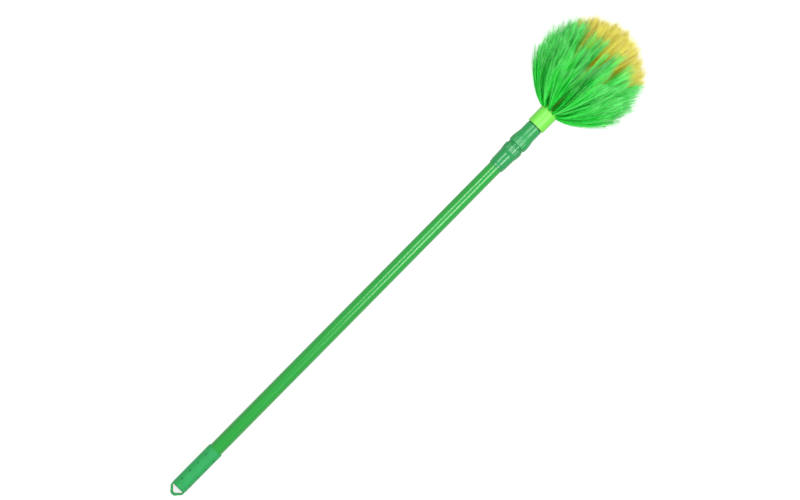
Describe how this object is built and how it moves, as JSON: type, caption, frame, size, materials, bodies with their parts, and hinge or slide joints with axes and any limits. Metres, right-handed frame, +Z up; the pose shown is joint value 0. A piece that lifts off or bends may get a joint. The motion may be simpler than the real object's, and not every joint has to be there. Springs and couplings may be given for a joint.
{
  "type": "cobweb brush",
  "caption": "Telescopic cobweb brush: looped grip, steel pole with twist lock, and a round ball of green and yellow bristles on a screw-on socket.",
  "frame": {"origin": "on the floor under the middle of the brush as it lies at rest, pole retracted", "axes": "+X from the hanging loop towards the bristle ball, +Z up; the pole leans up 4.98 degrees from +X because the ball is wider than the grip"},
  "size_m": [0.9613, 0.1738, 0.174],
  "materials": {
    "grip_plastic": "satin",
    "painted_tube": "gloss",
    "lock_plastic": "satin",
    "collet_plastic": "satin",
    "inner_steel": "satin",
    "plug_plastic": "matte",
    "tip_plastic": "satin",
    "socket_plastic": "satin",
    "anchor_wire": "satin",
    "yellow_bristle": "satin",
    "green_bristle": "satin"
  },
  "bodies": {
    "outer_pole": {"grip": "grip_plastic", "outer_tube": "painted_tube", "lock_body": "lock_plastic", "lock_collet": "collet_plastic"},
    "lock_nut": {"lock_nut": "lock_plastic"},
    "inner_pole": {"inner_tube": "inner_steel", "guide_plug": "plug_plastic", "threaded_tip": "tip_plastic"},
    "brush_head": {"brush_socket": "socket_plastic", "tuft_anchors": "anchor_wire", "middle_tuft": "yellow_bristle", "inner_tuft_1": "yellow_bristle", "inner_tuft_2": "yellow_bristle", "inner_tuft_3": "yellow_bristle", "inner_tuft_4": "yellow_bristle", "inner_tuft_5": "yellow_bristle", "crown_tuft_1": "yellow_bristle", "crown_tuft_2": "yellow_bristle", "crown_tuft_3": "yellow_bristle", "crown_tuft_4": "yellow_bristle", "crown_tuft_5": "yellow_bristle", "crown_tuft_6": "yellow_bristle", "crown_tuft_7": "yellow_bristle", "crown_tuft_8": "yellow_bristle", "crown_tuft_9": "yellow_bristle", "shoulder_tuft_1": "green_bristle", "shoulder_tuft_2": "green_bristle", "shoulder_tuft_3": "green_bristle", "shoulder_tuft_4": "green_bristle", "shoulder_tuft_5": "green_bristle", "shoulder_tuft_6": "green_bristle", "shoulder_tuft_7": "green_bristle", "shoulder_tuft_8": "green_bristle", "shoulder_tuft_9": "green_bristle", "shoulder_tuft_10": "green_bristle", "shoulder_tuft_11": "green_bristle", "shoulder_tuft_12": "green_bristle", "rim_tuft_1": "green_bristle", "rim_tuft_2": "green_bristle", "rim_tuft_3": "green_bristle", "rim_tuft_4": "green_bristle", "rim_tuft_5": "green_bristle", "rim_tuft_6": "green_bristle", "rim_tuft_7": "green_bristle", "rim_tuft_8": "green_bristle", "rim_tuft_9": "green_bristle", "rim_tuft_10": "green_bristle", "rim_tuft_11": "green_bristle", "rim_tuft_12": "green_bristle"}
  },
  "joints": [
    {"name": "lock_turn", "type": "hinge", "parent": "outer_pole", "child": "lock_nut", "pos_m": [0.2616, 0, 0.0755], "axis": [0.9962, 0, 0.0868], "range_deg": [0, 180]},
    {"name": "telescope", "type": "slide", "parent": "outer_pole", "child": "inner_pole", "axis": [0.9962, 0, 0.0868], "range_m": [0, 0.55]},
    {"name": "head_unscrew", "type": "slide", "parent": "inner_pole", "child": "brush_head", "axis": [0.9962, 0, 0.0868], "range_m": [0, 0.05]}
  ]
}
